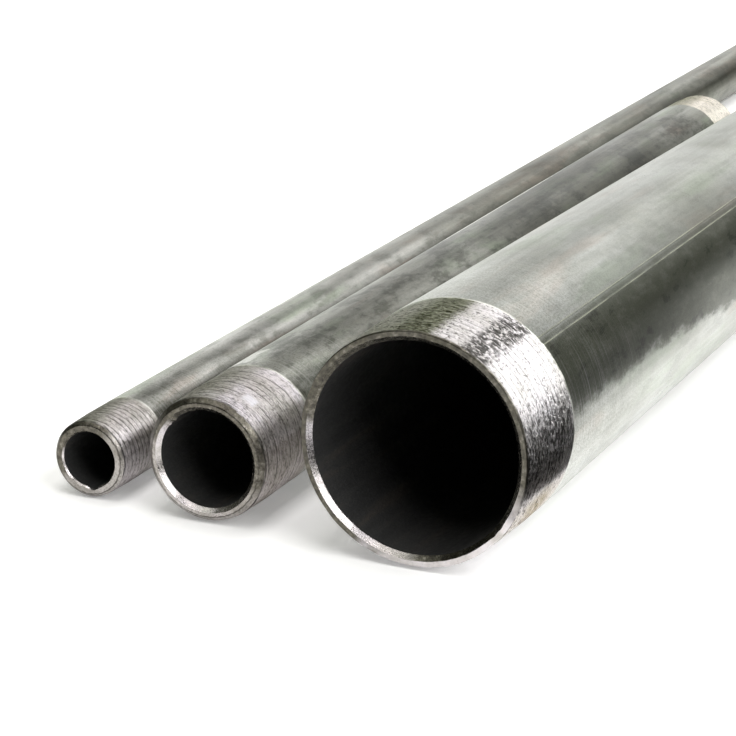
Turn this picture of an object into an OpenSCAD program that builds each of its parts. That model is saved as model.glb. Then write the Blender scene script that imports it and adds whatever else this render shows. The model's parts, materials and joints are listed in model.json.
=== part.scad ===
// Three threaded steel pipes of different bores, laid side by side on the
// floor in one layer. All sizes are in millimetres, +Z is up and +Y runs
// along the pipes. Every pipe is one piece: a true bore, a wall, and on both
// ends a 1:16 cone under which a taper pipe thread is cut. The cone is the
// envelope over the thread crests.

/* [Half-inch pipe] */
// Outside diameter of the half-inch pipe
half_od = 21.3; // [21.0:0.1:21.8]
// Wall thickness of the half-inch pipe
half_wall = 3.2; // [2.6:0.1:3.7]
// Length of the half-inch pipe, end to end
half_length = 1000; // [300:10:2000]
// Width of the bevel on the outer edge of the half-inch ends
half_chamfer = 0.9; // [0.2:0.05:0.9]
// Width of the reamed bevel on the inner edge of the half-inch ends
half_ream = 0.4; // [0.2:0.05:0.8]

/* [One-inch pipe] */
// Outside diameter of the one-inch pipe
one_od = 33.7; // [33.3:0.1:34.2]
// Wall thickness of the one-inch pipe
one_wall = 4.0; // [3.6:0.1:4.5]
// Length of the one-inch pipe, end to end
one_length = 470; // [300:10:2000]
// Width of the bevel on the outer edge of the one-inch ends
one_chamfer = 1.35; // [0.2:0.05:1.4]
// Width of the reamed bevel on the inner edge of the one-inch ends
one_ream = 1.1; // [0.2:0.05:1.2]

/* [Two-inch pipe] */
// Outside diameter of the two-inch pipe
two_od = 60.3; // [59.8:0.1:61.0]
// Wall thickness of the two-inch pipe
two_wall = 3.6; // [3.6:0.1:5.0]
// Length of the two-inch pipe, end to end
two_length = 1000; // [300:10:2000]
// Width of the bevel on the outer edge of the two-inch ends
two_chamfer = 0.35; // [0.2:0.05:1.0]
// Width of the reamed bevel on the inner edge of the two-inch ends
two_ream = 1.2; // [0.2:0.05:1.2]

/* [Layout] */
// Gap between the two-inch and the one-inch pipe at their near ends
gap_two_one = 12.3; // [0:0.1:60]
// Gap between the one-inch and the half-inch pipe at their near ends
gap_one_half = 8.8; // [0:0.1:60]
// How far the one-inch pipe's near end is set back
one_setback = 6.5; // [0:0.5:60]
// How far the half-inch pipe's near end is set back
half_setback = 10; // [0:0.5:60]
// Angle at which the one-inch pipe splays away from the two-inch pipe
one_splay = 1.7; // [0:0.1:1.7]
// Angle at which the half-inch pipe splays away from the two-inch pipe
half_splay = 1.8; // [1.7:0.1:3]

/* [Hidden] */
$fn = 96;

// Taper pipe threads: major diameter at the gauge plane, and the distance of
// that plane from the pipe's end
half_gauge = [20.955, 8.2];
one_gauge = [33.249, 10.4];
two_gauge = [59.614, 15.9];

// Diameter gained per millimetre along the thread
taper = 1 / 16;

// Crest radius of a thread at the very end of its pipe
function end_radius(gauge) = (gauge[0] - gauge[1] * taper) / 2;
half_end_r = end_radius(half_gauge);
one_end_r = end_radius(one_gauge);
two_end_r = end_radius(two_gauge);

// Distance from the two-inch pipe's axis to the other two at the near ends
one_offset = two_od / 2 + gap_two_one + one_od / 2;
half_offset = one_offset + one_od / 2 + gap_one_half + half_od / 2;

// Outermost points of a splayed pipe: to the left and at the far end
function left_of(offset, len, splay, re, ch) =
    -offset - (len - ch) * sin(splay) - re * cos(splay);
function far_of(setback, len, splay, re, ch) =
    setback + len * cos(splay) + (re - ch) * sin(splay);

// Centre of the box around the three pipes
left_x = min(left_of(half_offset, half_length, half_splay, half_end_r, half_chamfer),
             left_of(one_offset, one_length, one_splay, one_end_r, one_chamfer));
right_x = two_od / 2;
far_y = max(two_length,
            far_of(half_setback, half_length, half_splay, half_end_r, half_chamfer),
            far_of(one_setback, one_length, one_splay, one_end_r, one_chamfer));
centre = [(left_x + right_x) / 2, far_y / 2];

// Section of one end as [radius, distance along the axis] points: the bore,
// the reamed bevel, the flat face, the outer bevel and the thread's cone
function end_points(ro, ri, re, ch, ream) =
    [[ri, ream], [ri + ream, 0], [re - ch, 0], [re, ch],
     [ro, ch + 2 * (ro - re) / taper]];

// Both ends joined into the whole section
function section(ends, len) =
    concat(ends, [for (i = [len_of(ends) : -1 : 0]) [ends[i][0], len - ends[i][1]]]);
function len_of(ends) = len(ends) - 1;

// One pipe standing on its near end
module pipe(od, wall, re, ch, ream, length) {
    rotate_extrude()
        polygon(section(end_points(od / 2, od / 2 - wall, re, ch, ream), length));
}

// One pipe laid on the floor along +Y, splayed towards -X
module laid(offset, setback, splay, od) {
    translate([-offset - centre[0], setback - centre[1], od / 2])
        rotate([0, 0, splay]) rotate([-90, 0, 0]) children();
}

module half_inch_pipe() {
    color([0.50, 0.50, 0.46])
        laid(half_offset, half_setback, half_splay, half_od)
            pipe(half_od, half_wall, half_end_r, half_chamfer, half_ream, half_length);
}

module one_inch_pipe() {
    color([0.56, 0.56, 0.53])
        laid(one_offset, one_setback, one_splay, one_od)
            pipe(one_od, one_wall, one_end_r, one_chamfer, one_ream, one_length);
}

module two_inch_pipe() {
    color([0.66, 0.66, 0.63])
        laid(0, 0, 0, two_od)
            pipe(two_od, two_wall, two_end_r, two_chamfer, two_ream, two_length);
}

half_inch_pipe();
one_inch_pipe();
two_inch_pipe();
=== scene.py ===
# Looks for three threaded steel pipes lying side by side.
import math
import bpy
import bmesh
import numpy as np
from mathutils import Matrix, Vector
import json


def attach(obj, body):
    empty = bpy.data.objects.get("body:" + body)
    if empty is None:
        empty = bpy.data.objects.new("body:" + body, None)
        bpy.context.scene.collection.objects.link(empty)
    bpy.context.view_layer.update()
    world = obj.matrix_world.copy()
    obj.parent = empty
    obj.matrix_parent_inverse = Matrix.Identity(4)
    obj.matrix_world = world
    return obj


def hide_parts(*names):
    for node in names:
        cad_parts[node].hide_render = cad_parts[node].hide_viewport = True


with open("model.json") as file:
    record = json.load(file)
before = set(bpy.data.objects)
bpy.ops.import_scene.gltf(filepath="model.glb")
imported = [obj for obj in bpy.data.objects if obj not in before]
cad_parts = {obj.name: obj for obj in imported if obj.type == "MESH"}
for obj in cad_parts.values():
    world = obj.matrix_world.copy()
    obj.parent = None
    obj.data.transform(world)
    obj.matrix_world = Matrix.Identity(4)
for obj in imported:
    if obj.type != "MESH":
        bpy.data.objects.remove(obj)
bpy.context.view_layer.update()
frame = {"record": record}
MOUNTS = {m["name"]: m for m in frame["record"]["mounts"]}
scene = bpy.context.scene
MM = 0.001


# --- deterministic value noise on numpy arrays -------------------------------
def _hash(ix, iy, iz, seed):
    h = (ix * 374761393 + iy * 668265263 + iz * 2147483647 + seed * 1274126177) & 0xFFFFFFFF
    h = ((h ^ (h >> 13)) * 1274126177) & 0xFFFFFFFF
    h = ((h ^ (h >> 16)) * 2246822519) & 0xFFFFFFFF
    return ((h ^ (h >> 15)) & 0xFFFFFF) / float(0xFFFFFF)


def noise3(x, y, z, seed=0):
    """Smooth value noise in 0..1 at points given in cells."""
    x, y, z = np.broadcast_arrays(np.asarray(x, float), np.asarray(y, float), np.asarray(z, float))
    ix, iy, iz = np.floor(x).astype(np.int64), np.floor(y).astype(np.int64), np.floor(z).astype(np.int64)
    fx, fy, fz = x - ix, y - iy, z - iz
    fx, fy, fz = (f * f * (3 - 2 * f) for f in (fx, fy, fz))
    out = 0.0
    for dx in (0, 1):
        for dy in (0, 1):
            for dz in (0, 1):
                w = (fx if dx else 1 - fx) * (fy if dy else 1 - fy) * (fz if dz else 1 - fz)
                out = out + w * _hash(ix + dx, iy + dy, iz + dz, seed)
    return out


def smooth(x, a, b):
    t = np.clip((x - a) / (b - a), 0, 1)
    return t * t * (3 - 2 * t)


def wrapdeg(a):
    """Angle difference folded to -180..180 degrees."""
    return (np.asarray(a) + 180.0) % 360.0 - 180.0


# --- the three pipes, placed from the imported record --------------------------
class Pipe:
    def __init__(self, key, **kw):
        self.key = key
        self.node = key + "_inch_pipe"
        near = Vector(MOUNTS[key + "_inch_thread_near"]["pos_m"])
        far = Vector(MOUNTS[key + "_inch_thread_far"]["pos_m"])
        self.origin = near
        self.axis = (far - near).normalized()
        self.L = (far - near).length / MM - 0.004
        self.right = Vector((self.axis.y, -self.axis.x, 0.0)).normalized()
        # a hair under the true radius, so the mesh stays inside the CAD's box
        self.R = MOUNTS[key + "_inch_outside"]["dims"]["r_mm"] - (0.09 if key == "two" else 0.05)
        self.ri = MOUNTS[key + "_inch_bore"]["dims"]["r_mm"]
        self.re = MOUNTS[key + "_inch_thread_near"]["dims"]["r_mm"]
        self.ream = (self.L - MOUNTS[key + "_inch_bore"]["dims"]["length_mm"]) / 2
        for k, v in kw.items():
            setattr(self, k, v)


PIPES = [
    Pipe("half", slot="zinc_small", chamfer=0.9, pitch=1.814, depth=0.30, Lt=20.6, band=0.9,
         N=176, rows=12, tear=0.10, phase=0.15, weld=None, seed=11, wobble=0.10, sink=0.10, skew=0.6, wander=0.24, scratch=0.50),
    Pipe("one", slot="zinc_medium", chamfer=1.35, pitch=2.309, depth=0.28, Lt=27.2, band=2.0,
         N=224, rows=12, tear=0.12, phase=0.55, weld=None, seed=23, wobble=0.35, sink=0.14, skew=2.2, wander=0.26, scratch=0.75),
    Pipe("two", slot="zinc_large", chamfer=0.35, pitch=2.309, depth=0.32, Lt=27.9, band=1.0,
         N=224, rows=12, tear=0.34, phase=0.35, weld=46.0, seed=37, wobble=0.12, sink=0.16, skew=0.5, wander=0.26, scratch=0.70),
]


def thread_form(p, theta, s, end):
    """Depth of the cut, 0 on a crest and about 1 in a root, and where the thread runs out."""
    t = s if end == 0 else p.L - s
    seed = p.seed + 100 * end
    cx, cz = np.cos(theta) * p.R, np.sin(theta) * p.R
    s0 = 0.0 if end == 0 else p.L - zone_length(p)
    ph = (s - s0) / p.pitch + theta / (2 * math.pi) + p.phase
    ph = ph + p.wander * (noise3(cx / 6.0, cz / 6.0, s / 2.2, seed + 14) - 0.5)
    u = ph - np.floor(ph)
    u = np.minimum(u, 1 - u)            # 0 in the root, 0.5 on the crest
    d = np.exp(-(u / 0.19) ** 2)
    d = d * (0.45 + 0.75 * noise3(cx / 7, cz / 7, s / 1.6, seed + 9))
    # a second, finer scratch along each crest, broken into lengths
    half = 0.5 - u
    gate = smooth(noise3(cx / 3.5, cz / 3.5, s / p.pitch, seed + 12), 0.35, 0.6)
    d = d + p.scratch * gate * np.exp(-(half / 0.10) ** 2)
    if p.key == "one" and end == 0:     # burnished spot on the threads
        deg = np.degrees(theta)
        d = d * (1 - 0.85 * np.exp(-((np.abs(wrapdeg(deg - 60)) / 7.0) ** 4 + (np.abs(s - 9.5) / 1.9) ** 4)))
    run = p.Lt + p.skew * np.cos(theta - math.radians(20)) - abs(p.skew)
    return t, d, run


def groove(p, theta, s, end):
    t, d, run = thread_form(p, theta, s, end)
    return np.clip(d, 0, 1) * (1 - smooth(t, run - 0.6 * p.pitch, run)) * smooth(t, 0.3, 1.2)


def outer_radius(p, theta, s, end):
    """Outside radius in mm at angle theta (radians, from the right, upwards) and
    distance s along the pipe. end is 0 for the near zone, 1 for the far one."""
    seed = p.seed + 100 * end
    # arc-length coordinates for the noise, without a seam
    cx, cz = np.cos(theta) * p.R, np.sin(theta) * p.R
    t, d, run = thread_form(p, theta, s, end)
    cone = p.re + (t - p.chamfer) / 32
    # the cutter lifts out over the last turn or so
    lift = p.depth * smooth(t, run - 1.2 * p.pitch, run) ** 1.2
    r = cone + lift - p.depth * d
    # torn crests: long flakes along the thread and short chips
    crest = 1 - smooth(d, 0.15, 0.75)
    long_ = noise3(cx / 2.6, cz / 2.6, s / 0.55, seed)
    short = noise3(cx / 0.9, cz / 0.9, s / 0.35, seed + 1)
    patch = smooth(noise3(cx / 14, cz / 14, s / 12, seed + 2), 0.35, 0.75)
    torn = (smooth(long_, 0.52, 0.85) * 0.6 + smooth(short, 0.55, 0.9) * 0.4)
    inside = smooth(t, 0.2, 1.0) * (1 - smooth(t, run - 0.4 * p.pitch, run))
    r = r - p.tear * (0.35 + 0.65 * patch) * torn * (0.25 + 0.75 * crest) * inside
    # the clean turned band behind the thread sits a little under the zinc skin
    skin = p.R - p.sink * (1 - smooth(t, p.Lt + p.band, p.Lt + p.band + 0.25))
    r = np.minimum(r, skin)
    # outer bevel of the end
    bevel = p.re - p.chamfer + t + 0.10 * (noise3(cx / 3, cz / 3, 0, seed + 3) - 0.5)
    return np.minimum(r, bevel)


def body_radius(p, theta, s):
    """Outside radius of the plain length between the threads."""
    deg = np.degrees(theta)
    cx, cz = np.cos(theta) * p.R, np.sin(theta) * p.R
    k = p.R * 0.9
    r = p.R - 0.05 * noise3(cx / k, cz / k, s / 70.0, p.seed + 7) - 0.02 * noise3(cx / 9, cz / 9, s / 40.0, p.seed + 8)
    if p.weld is not None:
        a = np.radians(wrapdeg(deg - p.weld)) * p.R     # arc distance from the weld, mm
        flat = 1 - smooth(np.abs(a), 0.75, 1.0)
        r = r - 0.03 * flat + 0.02 * np.exp(-((np.abs(a) - 1.1) / 0.16) ** 2)
    return np.minimum(r, p.R)


def zone_length(p):
    return p.Lt + p.band


def thetas_of(p):
    th = list(np.arange(p.N) * 360.0 / p.N)
    if p.weld is not None:
        step = math.degrees(0.19 / p.R)
        extra = [(p.weld + i * step) % 360.0 for i in range(-9, 10)]
        th = [a for a in th if abs(wrapdeg(a - p.weld)) > 10.5 * step] + extra
    return np.radians(np.array(sorted(th)))


def build_pipe(p):
    th = thetas_of(p)
    J = len(th)
    verts = []          # (theta, radius, s) blocks
    faces, mats = [], []
    count = 0

    def add_ring(r, s):
        nonlocal count
        verts.append(np.stack([th, np.broadcast_to(r, J), np.broadcast_to(s, J)], 1))
        count += J
        return np.arange(count - J, count)

    def bridge(a, b, mat):
        """Quads between two rings, outward when b is further along the outline."""
        nxt = np.roll(np.arange(J), -1)
        q = np.stack([a, b, b[nxt], a[nxt]], 1)
        faces.extend(q.tolist())
        mats.extend([mat] * J)

    def helix_zone(end):
        nonlocal count
        Lz = zone_length(p)
        n, ds = p.rows, p.pitch / p.rows
        s0 = 0.0 if end == 0 else p.L - Lz
        wob = p.wobble * 2 * (noise3(np.cos(th) * 2.2, np.sin(th) * 2.2, 0, p.seed + 50 + end) - 0.5)
        lo = np.zeros(J) if end == 0 else s0 + wob
        hi = Lz + wob if end == 0 else np.full(J, p.L)
        K = int(math.ceil((Lz + 2 * p.pitch) / ds)) + 2 * n
        k = np.arange(K)
        s = s0 - p.pitch + k[None, :] * ds + ds * 0.5 - p.pitch * th[:, None] / (2 * math.pi)
        start = add_ring(outer_radius(p, th, lo, end), lo)
        stop = add_ring(outer_radius(p, th, hi, end), hi)
        ids = np.full((J, K), -1, np.int64)
        low = s < lo[:, None] + 0.35 * ds
        high = s > hi[:, None] - 0.35 * ds
        ids[low] = np.broadcast_to(start[:, None], (J, K))[low]
        ids[high] = np.broadcast_to(stop[:, None], (J, K))[high]
        free = ids < 0
        T = np.broadcast_to(th[:, None], (J, K))[free]
        S = s[free]
        verts.append(np.stack([T, outer_radius(p, T, S, end), S], 1))
        ids[free] = np.arange(count, count + len(S))
        count += len(S)
        kmid_t = s if end == 0 else p.L - s
        for j in range(J):
            a = ids[j]
            if j + 1 < J:
                b = ids[j + 1]
            else:           # one turn on, the rows are one pitch further
                b = np.concatenate([ids[0][:1].repeat(n), ids[0][:-n]])
            quad = np.stack([a[:-1], a[1:], b[1:], b[:-1]], 1)
            keep = ~(((quad[:, 0] == quad[:, 1]) & (quad[:, 2] == quad[:, 3])))
            for kk, f in zip(np.nonzero(keep)[0], quad[keep]):
                u = [int(f[0])]
                for v in f[1:]:
                    if v != u[-1]:
                        u.append(int(v))
                if u[0] == u[-1]:
                    u.pop()
                if len(u) >= 3:
                    faces.append(u)
                    tq = kmid_t[j, min(int(kk), K - 1)]
                    mats.append(2 if tq < p.chamfer * 0.8 else 1)
        return start, stop

    # outside, from the near end to the far end
    near0, near1 = helix_zone(0)
    far0, far1 = helix_zone(1)
    s_near = zone_length(p)
    rings = [near1]
    base_near = np.concatenate(verts)[near1][:, 2]
    base_far = np.concatenate(verts)[far0][:, 2]
    for off in (0.12, 0.25, 0.33, 0.48):
        s = base_near + off
        rings.append(add_ring(np.minimum(body_radius(p, th, s), outer_radius(p, th, s, 0)), s))
    M = p.mid_rows if hasattr(p, "mid_rows") else 34
    for i in range(0, M + 1):
        f = i / M
        s = (base_near + 0.8) * (1 - f) + (base_far - 0.8) * f
        rings.append(add_ring(body_radius(p, th, s), s))
    for off in (0.48, 0.33, 0.25, 0.12):
        s = base_far - off
        rings.append(add_ring(np.minimum(body_radius(p, th, s), outer_radius(p, th, s, 1)), s))
    rings.append(far0)
    for a, b in zip(rings[:-1], rings[1:]):
        bridge(a, b, 0)

    # ends: flat face, reamed bevel, then the bore wall
    allv = np.concatenate(verts)
    r_near, r_far = allv[near0][:, 1], allv[far1][:, 1]
    bite = bore_bite(p, th)

    def end_rings(end, outer_ring, r_out):
        sign = 1 if end == 0 else -1
        s_at = (lambda t: t) if end == 0 else (lambda t: p.L - t)
        lip = lip_noise(p, th, end)
        r_in = p.ri + p.ream + bite[0] * (1 - end) + lip
        out = [outer_ring]
        wave = 0.03 * (noise3(np.cos(th) * 5, np.sin(th) * 5, 0, p.seed + 60 + end) - 0.5)
        for f in (0.12, 0.5, 0.88):
            out.append(add_ring(r_out * (1 - f) + r_in * f, s_at(np.abs(wave) * 1.0)))
        out.append(add_ring(r_in, s_at(0.02)))
        for f in (0.12, 0.55, 0.92, 1.0):
            rr = r_in * (1 - f) + (p.ri + bite[1] * (1 - end) + lip * 0.3) * f
            out.append(add_ring(rr, s_at(0.02 + f * p.ream)))
        mats_ = [2] * 4 + [3] * 4
        for (a, b), m in zip(zip(out[:-1], out[1:]), mats_):
            if end == 0:
                bridge(b, a, m)
            else:
                bridge(a, b, m)
        return out[-1]

    b0 = end_rings(0, near0, r_near)
    b1 = end_rings(1, far1, r_far)
    inner = [b0, add_ring(p.ri + bite[1], p.ream + 0.35)]
    B = 26
    for i in range(1, B):
        f = (i / B)
        f = f * f * (3 - 2 * f) * 0.5 + f * 0.5
        s = p.ream + 0.02 + (p.L - 2 * p.ream - 0.04) * f
        dep = bite[1] * math.exp(-(s - p.ream) / 18.0)
        inner.append(add_ring(p.ri + dep, s))
    inner.append(b1)
    for a, b in zip(inner[:-1], inner[1:]):
        bridge(b, a, 4)

    V = np.concatenate(verts)
    T, Rr, S = V[:, 0], V[:, 1], V[:, 2]
    local = np.stack([np.cos(T) * Rr, S, np.sin(T) * Rr], 1)        # x right, y along, z up; mm
    o, ax, rt = (np.array(v, float) for v in (p.origin, p.axis, p.right))
    world = o + MM * (local[:, 0:1] * rt + local[:, 1:2] * ax + local[:, 2:3] * np.array([0, 0, 1.0]))
    me = bpy.data.meshes.new(p.node + "_mesh")
    me.from_pydata(world.tolist(), [], faces)
    for m in p.materials:
        me.materials.append(m)
    me.polygons.foreach_set("material_index", np.array(mats, np.int32))
    me.polygons.foreach_set("use_smooth", np.ones(len(mats), bool))
    att = me.attributes.new("pipe_mm", "FLOAT_VECTOR", "POINT")
    att.data.foreach_set("vector", local.astype(np.float32).ravel())
    gr = np.zeros(len(V))
    for end in (0, 1):
        inz = (Rr > p.re - p.depth - p.tear - 0.6) & ((S < p.Lt + p.band) if end == 0 else (S > p.L - p.Lt - p.band))
        gr[inz] = groove(p, T[inz], S[inz], end)
    a2 = me.attributes.new("groove", "FLOAT", "POINT")
    a2.data.foreach_set("value", gr.astype(np.float32))
    me.validate()
    me.update()
    ob = bpy.data.objects.new(p.node + "_detailed", me)
    scene.collection.objects.link(ob)
    bm = bmesh.new()
    bm.from_mesh(me)
    bmesh.ops.recalc_face_normals(bm, faces=bm.faces)
    for e in bm.edges:
        if len(e.link_faces) == 2 and e.link_faces[0].material_index != e.link_faces[1].material_index:
            e.smooth = False
    bm.to_mesh(me)
    bm.free()
    me.update()
    print("PIPE", p.node, "tris", sum(len(f) - 2 for f in faces), "verts", len(V))
    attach(ob, "root")
    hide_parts(p.node)
    return ob


def bore_bite(p, th):
    """Local marks of the bore edge at the near end: (at the bevel's top, at its foot)."""
    deg = np.degrees(th)
    z = np.zeros(len(th))
    if p.key == "half":         # the inner weld crease, a V at the bottom
        v = np.clip(1 - np.abs(wrapdeg(deg + 82)) / 17.0, 0, 1) ** 1.1
        return (0.45 * v, 0.75 * v)
    if p.key == "one":          # a curl of burr at the upper left
        v = np.exp(-(wrapdeg(deg - 132) / 3.0) ** 2) + 0.6 * np.exp(-(wrapdeg(deg - 141) / 2.5) ** 2)
        return (-0.15 * v, -0.45 * v)
    v = np.exp(-(wrapdeg(deg + 38) / 5.0) ** 2) * (0.5 + 0.5 * np.sin(np.radians(deg) * 60))
    return (0.30 * v, 0.20 * v)


def lip_noise(p, th, end):
    c, s = np.cos(th) * p.R, np.sin(th) * p.R
    return 0.10 * (noise3(c / 5, s / 5, 0, p.seed + 70 + end) - 0.5) + 0.08 * (noise3(c / 1.6, s / 1.6, 0, p.seed + 72 + end) - 0.5)


# --- materials ----------------------------------------------------------------
class Nodes:
    """Small helper to write node trees."""

    def __init__(self, name):
        self.mat = bpy.data.materials.new(name)
        self.mat.use_nodes = True
        self.t = self.mat.node_tree
        self.t.nodes.clear()
        self.out = self.t.nodes.new("ShaderNodeOutputMaterial")
        self.bsdf = self.t.nodes.new("ShaderNodeBsdfPrincipled")
        self.t.links.new(self.bsdf.outputs[0], self.out.inputs[0])
        a = self.t.nodes.new("ShaderNodeAttribute")
        a.attribute_type = "GEOMETRY"
        a.attribute_name = "pipe_mm"
        self.pos = a.outputs["Vector"]

    def link(self, value, socket):
        if isinstance(value, (int, float)):
            socket.default_value = value
        elif isinstance(value, (tuple, list)):
            socket.default_value = tuple(value) if len(value) == len(socket.default_value) else tuple(value) + (1.0,)
        else:
            self.t.links.new(value, socket)

    def scaled(self, sx, sy, sz, off=(0, 0, 0)):
        m = self.t.nodes.new("ShaderNodeMapping")
        m.inputs["Scale"].default_value = (sx, sy, sz)
        m.inputs["Location"].default_value = off
        self.t.links.new(self.pos, m.inputs["Vector"])
        return m.outputs[0]

    def noise(self, vec, scale=1.0, detail=3.0, rough=0.5, distort=0.0, out="Fac"):
        n = self.t.nodes.new("ShaderNodeTexNoise")
        n.inputs["Scale"].default_value = scale
        n.inputs["Detail"].default_value = detail
        n.inputs["Roughness"].default_value = rough
        n.inputs["Distortion"].default_value = distort
        self.t.links.new(vec, n.inputs["Vector"])
        return n.outputs[out] if out in n.outputs else n.outputs[0]

    def voronoi(self, vec, scale=1.0, feature="F1", out="Distance"):
        n = self.t.nodes.new("ShaderNodeTexVoronoi")
        n.feature = feature
        n.inputs["Scale"].default_value = scale
        self.t.links.new(vec, n.inputs["Vector"])
        return n.outputs[out]

    def ramp(self, fac, stops, interp="LINEAR"):
        r = self.t.nodes.new("ShaderNodeValToRGB")
        r.color_ramp.interpolation = interp
        els = r.color_ramp.elements
        while len(els) < len(stops):
            els.new(0.5)
        for e, (pos, col) in zip(els, stops):
            e.position = pos
            e.color = (col, col, col, 1) if isinstance(col, (int, float)) else tuple(col) + (1,)
        self.t.links.new(fac, r.inputs[0])
        return r.outputs[0]

    def math(self, op, a, b=0.0, c=None, clamp=False):
        n = self.t.nodes.new("ShaderNodeMath")
        n.operation = op
        n.use_clamp = clamp
        self.link(a, n.inputs[0])
        self.link(b, n.inputs[1])
        if c is not None:
            self.link(c, n.inputs[2])
        return n.outputs[0]

    def remap(self, v, a, b, c, d, smoothstep=False):
        n = self.t.nodes.new("ShaderNodeMapRange")
        n.interpolation_type = "SMOOTHSTEP" if smoothstep else "LINEAR"
        n.inputs["From Min"].default_value = a
        n.inputs["From Max"].default_value = b
        n.inputs["To Min"].default_value = c
        n.inputs["To Max"].default_value = d
        self.t.links.new(v, n.inputs["Value"])
        return n.outputs[0]

    def mix(self, fac, a, b, mode="MIX"):
        n = self.t.nodes.new("ShaderNodeMix")
        n.data_type = "RGBA"
        n.blend_type = mode
        self.link(fac, n.inputs["Factor"])
        A = [i for i in n.inputs if i.name == "A" and i.type == "RGBA"][0]
        B = [i for i in n.inputs if i.name == "B" and i.type == "RGBA"][0]
        self.link(a, A)
        self.link(b, B)
        return [o for o in n.outputs if o.type == "RGBA"][0]

    def xyz(self, vec=None):
        n = self.t.nodes.new("ShaderNodeSeparateXYZ")
        self.t.links.new(vec or self.pos, n.inputs[0])
        return n.outputs

    def bump(self, height, strength, distance, normal=None):
        n = self.t.nodes.new("ShaderNodeBump")
        n.inputs["Strength"].default_value = strength
        n.inputs["Distance"].default_value = distance
        self.t.links.new(height, n.inputs["Height"])
        if normal is not None:
            self.t.links.new(normal, n.inputs["Normal"])
        return n.outputs[0]

    def brushed(self, vec, amount):
        """Sheen drawn out along vec, from tool marks too fine to model."""
        c = self.t.nodes.new("ShaderNodeCombineXYZ")
        for i in range(3):
            c.inputs[i].default_value = vec[i]
        self.t.links.new(c.outputs[0], self.bsdf.inputs["Tangent"])
        self.bsdf.inputs["Anisotropic"].default_value = amount

    def finish(self, color, rough, normal, metallic=1.0):
        self.link(color, self.bsdf.inputs["Base Color"])
        self.link(rough, self.bsdf.inputs["Roughness"])
        if normal is not None:
            self.t.links.new(normal, self.bsdf.inputs["Normal"])
        self.bsdf.inputs["Metallic"].default_value = metallic
        return self.mat


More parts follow.
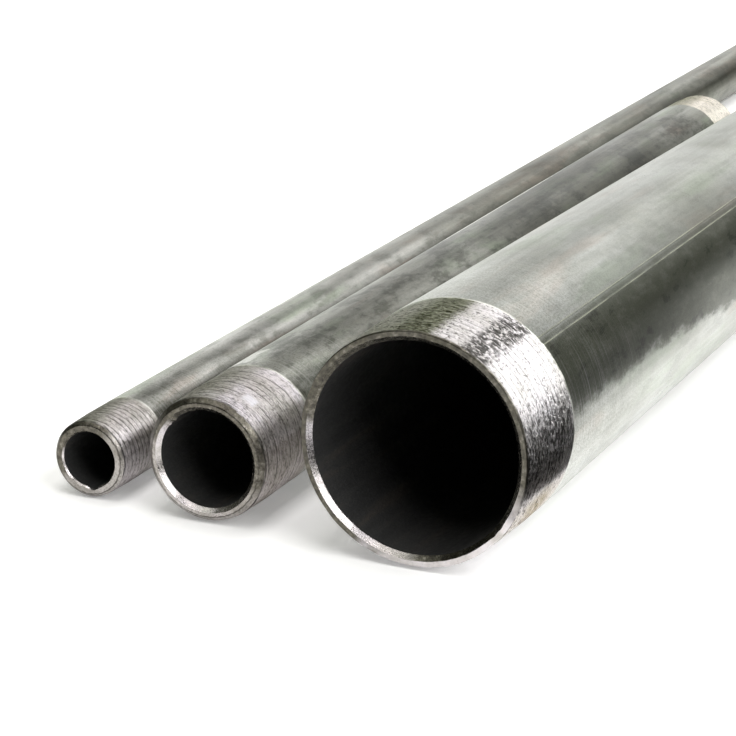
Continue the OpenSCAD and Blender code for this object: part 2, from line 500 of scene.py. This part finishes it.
def zinc(p, base, dark, light, warm, cool, rough, mottle, tint, fade, stain_and_shade=None, neighbour_shade_edge=None, dull=(0.42, 0.425, 0.37), marks=()):
    """Dull zinc skin: clouds, mottling, streaks along the pipe, fine grain, scuffs."""
    n = Nodes("zinc_" + p.key)
    k = p.R / 17.0
    cloud = n.noise(n.scaled(0.055 / k, 0.016, 0.055 / k, (3.1 * p.seed, 0, 0)), 1.0, 3.0, 0.5, 0.3)
    mot = n.noise(n.scaled(0.105, 0.040, 0.105, (0, 5.0 * p.seed, 0)), 1.0, 5.0, 0.60, 0.15)
    mot2 = n.noise(n.scaled(0.33, 0.15, 0.33, (3.0 * p.seed, 0, 2)), 1.0, 5.0, 0.64, 0.2)
    mot = n.math("ADD", n.math("MULTIPLY", mot, 0.55), n.math("MULTIPLY", mot2, 0.45))
    streak = n.noise(n.scaled(0.75, 0.012, 0.75, (0, 0, p.seed)), 1.0, 3.0, 0.6)
    grain = n.noise(n.scaled(2.4, 1.6, 2.4), 1.0, 3.0, 0.65)
    x, y, z_ = n.xyz()
    near = n.remap(y, 30.0, 100.0, 1.0, 0.0, True)
    both = n.math("ADD", n.math("MULTIPLY", cloud, 0.5), n.math("ADD", n.math("MULTIPLY", mot, 0.3), n.math("MULTIPLY", streak, 0.2)))
    col = n.ramp(both, [(0.36, dark), (0.5, base), (0.63, light)])
    # the skin is duller away from the ends
    f0, f1, fa = fade
    mid = n.math("MULTIPLY", n.remap(y, f0, f1, 0.0, 1.0, True), n.remap(y, p.L - 120.0, p.L - 30.0, 1.0, 0.0, True))
    col = n.mix(n.math("MULTIPLY", mid, fa), col, n.mix(1.0, col, dull, "MULTIPLY"))
    # sharper-edged darker islands
    isl = n.remap(mot, 0.47, 0.59, 0.0, mottle, True)
    col = n.mix(isl, col, n.mix(1.0, col, (0.34, 0.35, 0.30), "MULTIPLY"))
    pale = n.remap(mot, 0.49, 0.39, 0.0, mottle * 0.7, True)
    col = n.mix(pale, col, n.mix(1.0, col, (1.42, 1.42, 1.40), "MULTIPLY"))
    w1 = n.noise(n.scaled(0.075, 0.012, 0.075, (17, 3, p.seed)), 1.0, 4.0, 0.6, 0.3)
    col = n.mix(n.remap(w1, 0.52, 0.68, 0.0, tint, True), col, n.mix(1.0, col, warm, "MULTIPLY"))
    col = n.mix(n.remap(w1, 0.47, 0.34, 0.0, tint, True), col, n.mix(1.0, col, cool, "MULTIPLY"))
    if neighbour_shade_edge is not None:
        # painted shade along the side towards the next pipe, where it reflects its dark neighbour
        la = n.math("MULTIPLY", n.math("ARCTAN2", z_, x), 180 / math.pi)
        la = n.math("ADD", la, n.math("MULTIPLY", n.math("SUBTRACT", mot, 0.5), 16.0))
        neighbour_shade = n.math("MULTIPLY", n.remap(la, neighbour_shade_edge - 3.0, neighbour_shade_edge + 4.0, 1.0, 0.0, True), n.remap(la, neighbour_shade_edge - 34.0, neighbour_shade_edge - 14.0, 0.0, 1.0, True))
        neighbour_shade = n.math("MULTIPLY", neighbour_shade, n.remap(y, 60.0, 260.0, 1.0, 0.35, True))
        col = n.mix(neighbour_shade, col, n.mix(1.0, col, (0.42, 0.42, 0.38), "MULTIPLY"))
    for ta, ts, sa, ss, tone_, amount in marks:
        # single pale rubs and runs in the zinc
        rag = n.noise(n.scaled(0.35, 0.22, 0.35, (8, 8, p.seed)), 1.0, 4.0, 0.65)
        ma = n.math("MULTIPLY", n.math("ARCTAN2", z_, x), 180 / math.pi)
        ma = n.math("DIVIDE", n.math("ABSOLUTE", n.math("SUBTRACT", ma, ta)), ts)
        ms = n.math("DIVIDE", n.math("ABSOLUTE", n.math("SUBTRACT", y, sa)), ss)
        mm_ = n.math("ADD", n.math("MAXIMUM", ma, ms), n.math("MULTIPLY", n.math("SUBTRACT", rag, 0.5), 1.3))
        col = n.mix(n.remap(mm_, 0.75, 1.05, amount, 0.0, True), col, tone_)
    if stain_and_shade is not None:
        # darker, blotchy side of the tube below its weld line: real staining from the weld down, deepened with painted
        # shade towards its lower edge
        ang = n.math("MULTIPLY", n.math("ARCTAN2", z_, x), 180 / math.pi)
        edge = n.noise(n.scaled(0.22, 0.09, 0.22, (4, 4, p.seed)), 1.0, 6.0, 0.7, 0.2)
        a2 = n.math("ADD", ang, n.math("MULTIPLY", n.math("SUBTRACT", edge, 0.5), stain_and_shade["ragged"]))
        a3 = n.math("ADD", ang, n.math("MULTIPLY", n.math("SUBTRACT", edge, 0.5), 2.2 * stain_and_shade["ragged"]))
        # painted shade: the lower edge sinks further along the tube, following the edge of a dark reflection
        a3 = n.math("ADD", a3, n.remap(y, 95.0, 175.0, 0.0, 11.0, True))
        m = n.math("MULTIPLY", n.remap(a2, stain_and_shade["top"] - 5, stain_and_shade["top"] + 2, 1.0, 0.0, True),
                   n.remap(a3, stain_and_shade["low"] - 3.5, stain_and_shade["low"] + 3.5, 0.0, 1.0, True))
        patch = n.noise(n.scaled(0.19, 0.070, 0.19, (9, 2, p.seed)), 1.0, 7.0, 0.66, 0.15)
        dcol = n.ramp(patch, [(0.34, stain_and_shade["light"]), (0.48, stain_and_shade["mid"]), (0.56, stain_and_shade["mid"]), (0.62, stain_and_shade["dark"])])
        # painted shade: darker still from 34 down to 16 degrees, where the dark reflection is deepest
        deep_shade = n.math("MULTIPLY", n.remap(ang, 34.0, 16.0, 0.0, 1.0, True), n.remap(y, 40.0, 90.0, 0.35, 1.0, True))
        dcol = n.mix(deep_shade, dcol, n.mix(1.0, dcol, (0.50, 0.51, 0.46), "MULTIPLY"))
        col = n.mix(n.math("MULTIPLY", m, stain_and_shade["amount"]), col, dcol)
    if p.weld is not None:
        # two fine pale lines where the weld bead was planed off, with a dark one between
        wa = n.math("MULTIPLY", n.math("SUBTRACT", n.math("MULTIPLY", n.math("ARCTAN2", z_, x), 180 / math.pi), p.weld), math.radians(p.R))
        side = n.math("ABSOLUTE", n.math("SUBTRACT", n.math("ABSOLUTE", wa), 1.1))
        worn = n.remap(n.noise(n.scaled(0.5, 0.05, 0.5, (7, 7, 7)), 1.0, 4.0, 0.7), 0.36, 0.58, 0.15, 0.85, True)
        col = n.mix(n.math("MULTIPLY", n.remap(side, 0.05, 0.24, 1.0, 0.0, True), worn), col, (0.80, 0.82, 0.66))
        col = n.mix(n.remap(n.math("ABSOLUTE", n.math("ADD", wa, 0.2)), 0.25, 0.85, 0.45, 0.0, True), col, (0.16, 0.17, 0.13))
    g2 = n.math("MULTIPLY", n.remap(grain, 0.42, 0.66, 0.0, 1.0, True), n.math("ADD", n.math("MULTIPLY", near, 0.45), 0.25))
    col = n.mix(g2, col, n.mix(1.0, col, (0.45, 0.46, 0.40), "MULTIPLY"))
    # fine rings round the pipe where the threading die gripped it
    rings = n.noise(n.scaled(0.05, 5.0, 0.05), 1.0, 2.0, 0.5)
    ringm = n.math("MULTIPLY", n.remap(rings, 0.55, 0.70, 0.0, 0.55, True), near)
    col = n.mix(ringm, col, light)
    ringd = n.math("MULTIPLY", n.remap(rings, 0.46, 0.32, 0.0, 0.45, True), near)
    col = n.mix(ringd, col, n.mix(1.0, col, (0.5, 0.51, 0.45), "MULTIPLY"))
    ends = n.math("MINIMUM", n.math("SUBTRACT", y, zone_length(p)), n.math("SUBTRACT", p.L - zone_length(p), y))
    burr = n.remap(ends, 0.3, 1.0, 0.55, 0.0, True)
    burr = n.math("MULTIPLY", burr, n.remap(n.noise(n.scaled(0.25, 0.5, 0.25, (6, 1, p.seed)), 1.0, 3.0, 0.6), 0.40, 0.60, 0.15, 1.0, True))
    col = n.mix(burr, col, (0.86, 0.85, 0.82))
    r = n.remap(both, 0.36, 0.64, rough + 0.07, rough - 0.06)
    r = n.math("ADD", r, n.math("MULTIPLY", burr, 0.30))
    r = n.math("ADD", r, n.math("MULTIPLY", n.math("SUBTRACT", grain, 0.5), 0.15), clamp=True)
    h = n.math("ADD", n.math("MULTIPLY", grain, 0.6), n.math("MULTIPLY", streak, 0.5))
    h = n.math("ADD", h, n.math("MULTIPLY", n.math("MULTIPLY", rings, near), 0.3))
    nor = n.bump(h, 0.30, 0.00012)
    nor = n.bump(mot, 0.30, 0.0003, nor)
    return n.finish(col, r, nor)


def cut_steel(p, tone, grainy, rough, blobs=0.0, bump=0.5, root_dirt_shade_amount=0.7, underside_shade=None, chips=0.0, olive_shade_amount=0.65):
    """Cut thread: bright steel, tool lines along the thread, torn blobs on the crests."""
    n = Nodes("cut_steel_" + p.key)
    torn = n.noise(n.scaled(1.15, 1.9, 1.15, (p.seed, 0, 0)), 1.0, 3.0, 0.6, 0.5)
    fine = n.noise(n.scaled(2.6, 4.5, 2.6, (p.seed, 0, 0)), 1.0, 2.0, 0.5)
    spot = n.noise(n.scaled(0.07, 0.09, 0.07, (0, p.seed, 4)), 1.0, 3.0, 0.6)
    dash = n.noise(n.scaled(0.62, 2.3, 0.62, (3, p.seed, 9)), 1.0, 3.0, 0.62, 0.2)
    c1 = n.ramp(spot, [(0.32, tone[0]), (0.50, tone[1]), (0.68, tone[2])])
    dirt = n.remap(torn, 0.46, 0.36, 0.0, min(0.8, 0.9 * grainy), True)
    col = n.mix(dirt, c1, (0.09, 0.08, 0.07))
    ga = n.t.nodes.new("ShaderNodeAttribute")
    ga.attribute_type = "GEOMETRY"
    ga.attribute_name = "groove"
    # thread roots darkened: partly real dirt, partly painted shade for groove depth the shallow mesh leaves out
    groove_dirt_and_shade = n.remap(n.math("ADD", ga.outputs["Fac"], n.math("MULTIPLY", n.math("SUBTRACT", torn, 0.5), 0.7)), 0.45, 0.95, 0.0, root_dirt_shade_amount, True)
    col = n.mix(groove_dirt_and_shade, col, (0.085, 0.08, 0.07))
    x, y, z = n.xyz()
    ang = n.math("MULTIPLY", n.math("ARCTAN2", z, x), 180 / math.pi)
    if blobs:
        # a strip where the die tore the crests, and below it a straw-coloured tint painted as warm light reflected from
        # beneath, strongest in one patch
        near_end = n.remap(y, p.L * 0.5, p.L * 0.5 + 1.0, 1.0, 0.0)
        strip = n.remap(n.math("ABSOLUTE", n.math("SUBTRACT", ang, 59.0)), 5.0, 9.0, blobs, 0.0, True)
        spots = n.noise(n.scaled(0.62, 0.80, 0.62, (2, 8, 1)), 1.0, 2.0, 0.6, 0.4)
        strip = n.math("MULTIPLY", n.math("MULTIPLY", strip, near_end), n.remap(spots, 0.40, 0.52, 0.0, 1.0, True))
        col = n.mix(strip, col, (0.05, 0.048, 0.042))
        warm_under_tint = n.remap(n.math("ABSOLUTE", n.math("SUBTRACT", ang, -32.0)), 4.0, 16.0, 1.0, 0.0, True)
        warm_under_tint = n.math("MULTIPLY", warm_under_tint, n.remap(n.math("ABSOLUTE", n.math("SUBTRACT", y, 15.0)), 2.0, 10.0, 0.75, 0.35, True))
        col = n.mix(n.math("MULTIPLY", warm_under_tint, near_end), col, (0.40, 0.33, 0.20))
    far_end = n.remap(y, p.L * 0.5, p.L * 0.5 + 1.0, 0.0, 0.85)
    col = n.mix(far_end, col, n.mix(0.6, n.mix(1.0, col, (1.0, 0.97, 0.86), "MULTIPLY"), (0.90, 0.87, 0.76)))
    # painted olive shade on the upper left of the threads, for the dim olive light they reflect there
    oa = n.math("ADD", ang, n.math("MULTIPLY", n.math("SUBTRACT", torn, 0.5), 18.0))
    olive_shade = n.remap(n.math("ABSOLUTE", n.math("SUBTRACT", oa, 122.0)), 38.0, 43.0, olive_shade_amount, 0.0, True)
    if blobs:
        # on the large pipe this painted shade gathers near 89 degrees and is broken by dashes
        olive_shade = n.math("MULTIPLY", olive_shade, n.remap(n.math("ABSOLUTE", n.math("SUBTRACT", oa, 89.0)), 7.0, 14.0, 1.0, 0.10, True))
        olive_shade = n.math("MULTIPLY", olive_shade, n.remap(dash, 0.40, 0.60, 1.0, 0.40, True))
    col = n.mix(olive_shade, col, n.mix(1.0, col, (0.50, 0.53, 0.39) if not blobs else (0.22, 0.235, 0.15), "MULTIPLY"))
    busy = 1.0
    if blobs:
        # chips are kept out of the two bands where the highlights fall, so those bands stay clean: painted to follow
        # the light
        wa = n.math("ADD", ang, n.math("MULTIPLY", n.math("SUBTRACT", torn, 0.5), 9.0))
        c1 = n.remap(n.math("ABSOLUTE", n.math("SUBTRACT", wa, 39.0)), 10.0, 15.0, 0.10, 1.0, True)
        c2 = n.remap(n.math("ABSOLUTE", n.math("SUBTRACT", wa, 75.0)), 5.0, 8.0, 0.15, 1.0, True)
        busy = n.math("MINIMUM", c1, c2)
        # below them, dark swarf dashes between bright torn crests, laid only in the band where the thread reflects
        # dark, as painted shade
        side = n.math("MULTIPLY", n.remap(wa, 26.0, 8.0, 0.0, 1.0, True), n.remap(wa, -24.0, -14.0, 0.0, 1.0, True))
        side = n.math("MULTIPLY", side, n.remap(y, p.L * 0.5, p.L * 0.5 + 1.0, 1.0, 0.0))
        swarf_and_shade = n.math("MULTIPLY", side, n.remap(dash, 0.56, 0.48, 0.0, 0.86, True))
    col = n.mix(n.math("MULTIPLY", n.remap(dash, 0.47, 0.38, 0.0, chips, True), busy), col, (0.06, 0.055, 0.05))
    chip = n.math("MULTIPLY", n.remap(dash, 0.57, 0.64, 0.0, chips, True), busy)
    col = n.mix(chip, col, (0.92, 0.89, 0.89))
    if blobs:
        col = n.mix(swarf_and_shade, col, (0.07, 0.065, 0.06))
        # painted olive shade over the top of the threads
        olive_top_shade = n.math("MULTIPLY", n.remap(wa, 80.0, 86.0, 0.0, 1.0, True),
                       n.remap(wa, 96.0, 108.0, 0.80, 0.38, True))
        olive_top_shade = n.math("MULTIPLY", olive_top_shade, n.remap(wa, 150.0, 125.0, 0.0, 1.0, True))
        olive_top_shade = n.math("MULTIPLY", olive_top_shade, n.remap(y, p.L * 0.5, p.L * 0.5 + 1.0, 1.0, 0.3))
        col = n.mix(olive_top_shade, col, n.mix(1.0, col, (0.50, 0.54, 0.40), "MULTIPLY"))
    if p.key == "one":      # burnished spot
        sp = n.math("MAXIMUM", n.math("DIVIDE", n.math("ABSOLUTE", n.math("SUBTRACT", ang, 60.0)), 8.0),
                    n.math("DIVIDE", n.math("ABSOLUTE", n.math("SUBTRACT", y, 9.5)), 2.2))
        sp = n.math("ADD", sp, n.math("MULTIPLY", n.math("SUBTRACT", torn, 0.5), 0.8))
        col = n.mix(n.remap(sp, 0.55, 1.05, 0.75, 0.0, True), col, (0.80, 0.79, 0.84))
    lip = n.math("ADD", n.math("MINIMUM", y, n.math("SUBTRACT", p.L, y)), n.math("MULTIPLY", n.math("SUBTRACT", torn, 0.5), 1.6))
    lipm = n.remap(lip, p.chamfer + 0.45, p.chamfer + 0.75, 0.85, 0.0, True)
    lipm = n.math("MULTIPLY", lipm, n.remap(n.noise(n.scaled(0.16, 0.5, 0.16, (p.seed, 2, 2)), 1.0, 3.0, 0.6), 0.38, 0.56, 0.1, 1.0, True))
    col = n.mix(lipm, col, (0.04, 0.038, 0.032))
    if underside_shade is not None:
        # painted shade along the lower right of the threads, where they reflect dark surroundings between the pipes and
        # the floor
        g0, g1, keep = underside_shade
        wob = n.math("ADD", ang, n.math("MULTIPLY", n.math("SUBTRACT", torn, 0.5), 14.0))
        underside_shade_mask = n.math("MULTIPLY", n.remap(wob, g0 - 3.0, g0 + 3.0, 0.0, 1.0, True), n.remap(wob, g1 - 4.0, g1 + 4.0, 1.0, 0.0, True))
        underside_shade_mask = n.math("MULTIPLY", underside_shade_mask, n.remap(y, p.L * 0.5, p.L * 0.5 + 1.0, 1.0, 0.3))
        col = n.mix(underside_shade_mask, col, n.mix(1.0, col, keep, "MULTIPLY"))
    r = n.remap(fine, 0.3, 0.7, rough + 0.06, rough - 0.04)
    r = n.math("ADD", r, n.math("MULTIPLY", chip, 0.20 if not blobs else 0.26))
    n.brushed(tuple(p.axis), 1.0)
    h = n.math("ADD", n.math("MULTIPLY", torn, grainy), n.math("MULTIPLY", dash, 0.5 * grainy))
    nor = n.bump(h, bump, 0.0009 if not blobs else 0.0006)
    nor = n.bump(fine, 0.25, 0.00006, nor)
    return n.finish(col, r, nor)


def turned(p, name, tone, rough, rings, shade=None, corner=False):
    """Sawn or turned end face and reamed bevel: bright, with fine concentric lines."""
    n = Nodes(name + "_" + p.key)
    x, y, z = n.xyz()
    rad = n.math("SQRT", n.math("ADD", n.math("MULTIPLY", x, x), n.math("MULTIPLY", z, z)))
    comb = n.t.nodes.new("ShaderNodeCombineXYZ")
    n.link(n.math("MULTIPLY", rad, rings), comb.inputs[0])
    n.link(n.math("MULTIPLY", y, rings), comb.inputs[1])
    lines = n.noise(comb.outputs[0], 1.0, 3.0, 0.6)
    g = n.noise(n.scaled(1.6, 1.6, 1.6, (0, 0, p.seed)), 1.0, 4.0, 0.65)
    spot = n.noise(n.scaled(0.13, 0.13, 0.13, (p.seed, 1, 2)), 1.0, 3.0, 0.6)
    col = n.ramp(spot, [(0.30, tone[0]), (0.5, tone[1]), (0.70, tone[2])])
    col = n.mix(n.remap(g, 0.45, 0.25, 0.0, 0.5, True), col, (0.15, 0.14, 0.12))
    if shade is not None:
        # painted shade on the rim: dark and speckled everywhere but the arc left bright where the face catches the
        # light
        ang = n.math("MULTIPLY", n.math("ARCTAN2", z, x), 180 / math.pi)
        a2 = n.math("ADD", ang, n.math("MULTIPLY", n.math("SUBTRACT", spot, 0.5), 40.0))
        near_end = n.remap(y, p.L * 0.5, p.L * 0.5 + 1.0, 1.0, 0.0)
        d = n.math("ABSOLUTE", n.math("SUBTRACT", a2, shade["mid"]))
        d = n.math("MINIMUM", d, n.math("SUBTRACT", 360.0, d))
        m = n.remap(d, shade["half"] - 12, shade["half"] + 12, 0.0, shade["amount"], True)
        m = n.math("MULTIPLY", m, n.math("ADD", n.math("MULTIPLY", near_end, 0.5), 0.5))
        g3 = n.noise(n.scaled(0.7, 0.7, 0.7, (0, p.seed, 3)), 1.0, 5.0, 0.6)
        rim_shade_col = n.ramp(g3, [(0.34, shade["dark"]), (0.56, shade["tone"]), (0.74, shade["speck"])])
        col = n.mix(m, col, rim_shade_col)
    if corner:
        wave = n.noise(n.scaled(0.9, 0.9, 0.9, (5, 5, p.seed)), 1.0, 4.0, 0.65)
        e = n.math("ADD", n.math("SUBTRACT", rad, p.re - p.chamfer), n.math("MULTIPLY", n.math("SUBTRACT", wave, 0.5), 0.9))
        gap = n.remap(n.math("ABSOLUTE", e), 0.10, 0.24, 0.8, 0.0, True)
        col = n.mix(gap, col, (0.05, 0.046, 0.038))
        speck = n.noise(n.scaled(2.2, 2.2, 2.2, (1, p.seed, 5)), 1.0, 3.0, 0.6)
        col = n.mix(n.remap(speck, 0.50, 0.40, 0.0, 0.6, True), col, (0.17, 0.155, 0.14))
    r = n.remap(g, 0.3, 0.7, rough + 0.12, rough - 0.05)
    h = n.math("ADD", n.math("MULTIPLY", lines, 0.7), n.math("MULTIPLY", g, 0.5))
    nor = n.bump(h, 0.6, 0.00012)
    return n.finish(col, r, nor)


def bore_scale(p):
    """Inside of the pipe: dark rough mill scale."""
    n = Nodes("bore_scale_" + p.key)
    g = n.noise(n.scaled(0.9, 0.5, 0.9), 1.0, 4.0, 0.65)
    s = n.noise(n.scaled(0.22, 0.02, 0.22, (0, 0, p.seed)), 1.0, 4.0, 0.6)
    col = n.ramp(s, [(0.3, (0.010, 0.010, 0.010)), (0.55, (0.020, 0.020, 0.019)), (0.8, (0.045, 0.036, 0.028))])
    col = n.mix(n.remap(g, 0.4, 0.7, 0.0, 0.5), col, (0.012, 0.012, 0.013))
    r = n.remap(g, 0.3, 0.7, 0.62, 0.85)
    nor = n.bump(g, 0.5, 0.0004)
    return n.finish(col, r, nor, metallic=0.0)


STEEL = [(0.46, 0.44, 0.41), (0.66, 0.62, 0.62), (0.74, 0.70, 0.74)]
FACE = {"half": [(0.26, 0.24, 0.22), (0.40, 0.375, 0.355), (0.52, 0.49, 0.48)],
        "one": [(0.30, 0.28, 0.255), (0.46, 0.43, 0.41), (0.62, 0.58, 0.575)], "two": STEEL}
RIM = dict(dark=(0.03, 0.027, 0.020), tone=(0.13, 0.12, 0.095), speck=(0.40, 0.38, 0.33), amount=0.95)
WARM, COOL = (1.0, 0.82, 0.76), (0.88, 1.0, 0.84)
for p in PIPES:
    if p.key == "half":
        z = zinc(p, (0.48, 0.475, 0.45), (0.31, 0.305, 0.275), (0.65, 0.64, 0.62), WARM, COOL, 0.34, 0.62, 0.7, (150.0, 300.0, 1.0), neighbour_shade_edge=44.0)
        c = cut_steel(p, STEEL, 0.55, 0.46, bump=0.42, root_dirt_shade_amount=0.75, chips=0.45, olive_shade_amount=0.20, underside_shade=(-180.0, 12.0, (0.72, 0.71, 0.72)))
        f, b = dict(RIM, mid=-45, half=95), dict(RIM, mid=-120, half=70)
    elif p.key == "one":
        z = zinc(p, (0.31, 0.31, 0.28), (0.165, 0.165, 0.14), (0.50, 0.50, 0.47), WARM, COOL, 0.34, 1.0, 1.0, (90.0, 240.0, 1.0), dull=(0.31, 0.312, 0.27),
                 marks=((114.0, 13.0, 39.0, 8.0, (0.80, 0.80, 0.77), 0.8), (117.0, 3.5, 235.0, 62.0, (0.85, 0.84, 0.80), 0.8)))
        c = cut_steel(p, STEEL, 0.65, 0.46, bump=0.45, root_dirt_shade_amount=0.70, chips=0.50, olive_shade_amount=0.20, underside_shade=(-180.0, 14.0, (0.66, 0.64, 0.61)))
        f, b = dict(RIM, mid=-110, half=80), dict(RIM, mid=-130, half=90)
    else:
        z = zinc(p, (0.58, 0.59, 0.56), (0.44, 0.45, 0.41), (0.72, 0.73, 0.72), WARM, COOL, 0.33, 0.30, 0.45, (45.0, 110.0, 0.42),
                 stain_and_shade=dict(top=46.5, low=8.0, ragged=10.0, amount=0.96, dark=(0.075, 0.08, 0.058),
                            mid=(0.17, 0.18, 0.14), light=(0.27, 0.28, 0.235)))
        c = cut_steel(p, [(0.66, 0.64, 0.62), (0.86, 0.83, 0.84), (0.93, 0.90, 0.93)], 0.9, 0.44, blobs=0.90, bump=0.75, root_dirt_shade_amount=0.45, chips=0.70, olive_shade_amount=1.0, underside_shade=(-18.0, -3.0, (0.22, 0.21, 0.20)))
        f, b = dict(RIM, mid=-66, half=44, tone=(0.09, 0.084, 0.062), speck=(0.26, 0.24, 0.21)), dict(RIM, mid=-138, half=44, tone=(0.10, 0.093, 0.07), speck=(0.30, 0.28, 0.25))
    p.materials = [z, c, turned(p, "end_face", FACE[p.key], 0.30, 3.0, f, corner=p.key != "two"), turned(p, "reamed_edge", STEEL, 0.22, 4.0, b), bore_scale(p)]
    p.mid_rows = 34

for p in PIPES:
    build_pipe(p)


# --- floor, light and camera ---------------------------------------------------
def plain(name, col, rough):
    m = bpy.data.materials.new(name)
    m.use_nodes = True
    b = m.node_tree.nodes["Principled BSDF"]
    b.inputs["Base Color"].default_value = (*col, 1)
    b.inputs["Roughness"].default_value = rough
    b.inputs["Specular IOR Level"].default_value = 0.2
    return m


fm = bpy.data.meshes.new("floor_mesh")
S = 12.0
fm.from_pydata([(-S, -S, 0), (S, -S, 0), (S, S, 0), (-S, S, 0)], [], [(0, 1, 2, 3)])
fm.materials.append(plain("pale_floor", (0.93, 0.93, 0.93), 0.7))
fb = fm.materials[0].node_tree.nodes["Principled BSDF"]
fb.inputs["Emission Color"].default_value = (1, 1, 1, 1)
ft = fm.materials[0].node_tree
tc = ft.nodes.new("ShaderNodeTexCoord")
ln = ft.nodes.new("ShaderNodeVectorMath")
ln.operation = "LENGTH"
ft.links.new(tc.outputs["Object"], ln.inputs[0])
mr = ft.nodes.new("ShaderNodeMapRange")
mr.interpolation_type = "SMOOTHSTEP"
for k, v in (("From Min", 1.2), ("From Max", 3.2), ("To Min", 0.0), ("To Max", 0.80)):
    mr.inputs[k].default_value = v
ft.links.new(ln.outputs["Value"], mr.inputs["Value"])
lp = ft.nodes.new("ShaderNodeLightPath")
ma = ft.nodes.new("ShaderNodeMath")
ma.operation = "MULTIPLY_ADD"
ft.links.new(mr.outputs[0], ma.inputs[0])
ft.links.new(lp.outputs["Is Camera Ray"], ma.inputs[1])
ma.inputs[2].default_value = 0.22
ft.links.new(ma.outputs[0], fb.inputs["Emission Strength"])
floor = bpy.data.objects.new("floor", fm)
scene.collection.objects.link(floor)

two = PIPES[2]
mouth = two.origin


def area(name, center, target, sx, sy, radiance, up=(0, 1, 0), color=(1, 1, 1)):
    """Rectangular soft light: sx across, sy along `up`; radiance is what it shows."""
    L = bpy.data.lights.new(name, "AREA")
    L.shape = "RECTANGLE"
    L.size, L.size_y = sx, sy
    L.energy = radiance * sx * sy * math.pi
    L.color = color
    o = bpy.data.objects.new(name, L)
    scene.collection.objects.link(o)
    c = Vector(center)
    z = (c - Vector(target)).normalized()
    y = Vector(up) - Vector(up).dot(z) * z
    y.normalize()
    x = y.cross(z)
    o.matrix_world = Matrix(((x.x, y.x, z.x, c.x), (x.y, y.y, z.y, c.y), (x.z, y.z, z.z, c.z), (0, 0, 0, 1)))
    o.visible_camera = False
    return o


def polar(azim_right, elev, dist, y=0.0):
    """Point at elevation elev on the right (+X) side of the pipes."""
    e = math.radians(elev)
    return (mouth.x + dist * math.cos(e) * azim_right, y, dist * math.sin(e))


area("key_right", (mouth.x + 1.33, -0.65, 1.04), (mouth.x, -0.65, 0.03), 1.46, 2.0, 4.8)
area("top_near", (mouth.x + 0.14, -0.45, 1.7), (mouth.x + 0.14, -0.45, 0.03), 0.84, 1.9, 2.9, color=(1.0, 0.975, 0.965))
area("top_left", (mouth.x - 0.72, -0.45, 1.55), (mouth.x, -0.45, 0.03), 0.62, 1.9, 1.5, color=(0.98, 1.0, 0.93))
area("top_far", (mouth.x + 0.10, 1.8, 1.7), (mouth.x + 0.10, 1.8, 0.03), 0.75, 2.6, 1.35)
area("left_fill", (mouth.x - 1.7, 0.55, 1.25), (mouth.x, -0.4, 0.03), 1.1, 1.1, 0.95, color=(0.93, 1.0, 0.78))
area("back_left", (mouth.x - 1.25, 1.65, 0.52), (mouth.x, -0.4, 0.05), 2.1, 1.0, 1.15, up=(0, 0, 1))
area("back_mid", (mouth.x + 0.15, 2.1, 0.88), (mouth.x, -0.4, 0.05), 1.3, 0.80, 0.85, up=(0, 0, 1))


def flag(name, pts):
    """Dark studio card beside the pipes: seen in their shine only."""
    m = bpy.data.meshes.new(name + "_mesh")
    m.from_pydata(pts, [], [(0, 1, 2, 3)])
    m.materials.append(plain(name + "_cloth", (0.02, 0.02, 0.018), 0.9))
    o = bpy.data.objects.new(name, m)
    scene.collection.objects.link(o)
    o.visible_camera = o.visible_diffuse = o.visible_shadow = False


edge = [(mouth.x + 0.036, -0.62, 0.034), (mouth.x + 0.052, -0.47, 0.040), (mouth.x + 0.092, -0.32, 0.055), (mouth.x + 0.092, -0.22, 0.060)]
for i, (a, b) in enumerate(zip(edge[:-1], edge[1:])):
    flag("flag_%d" % i, [(a[0], a[1], 0), (b[0], b[1], 0), b, a])

w = bpy.data.worlds.new("studio")
scene.world = w
w.use_nodes = True
bg = w.node_tree.nodes["Background"]
bg.inputs[0].default_value = (0.50, 0.52, 0.40, 1)
bg.inputs[1].default_value = 0.16
wt = w.node_tree
pale = wt.nodes.new("ShaderNodeBackground")
pale.inputs[0].default_value = (1, 1, 1, 1)
pale.inputs[1].default_value = 0.97
wl = wt.nodes.new("ShaderNodeLightPath")
wm = wt.nodes.new("ShaderNodeMixShader")
wt.links.new(wl.outputs["Is Camera Ray"], wm.inputs[0])
wt.links.new(bg.outputs[0], wm.inputs[1])
wt.links.new(pale.outputs[0], wm.inputs[2])
wt.links.new(wm.outputs[0], wt.nodes["World Output"].inputs[0])

scene.view_settings.view_transform = "Standard"
scene.view_settings.look = "None"
scene.view_settings.exposure = 0.0

pitch, yaw = math.radians(16.88), math.radians(-24.86)
fwd = Vector((math.sin(yaw) * math.cos(pitch), math.cos(yaw) * math.cos(pitch), -math.sin(pitch)))
rt = Vector((math.cos(yaw), -math.sin(yaw), 0))
up = rt.cross(fwd)
C = Vector((mouth.x, mouth.y, 0)) + Vector((202.22 - 1.23, -460.42 + 2.26, 202.20)) * MM
cam = bpy.data.cameras.new("camera")
cam.sensor_width = 36
cam.lens = 2249.3 * 36 / 736
cam.clip_start, cam.clip_end = 0.01, 100
co = bpy.data.objects.new("camera", cam)
scene.collection.objects.link(co)
co.matrix_world = Matrix(((rt.x, up.x, -fwd.x, C.x), (rt.y, up.y, -fwd.y, C.y), (rt.z, up.z, -fwd.z, C.z), (0, 0, 0, 1)))
scene.camera = co
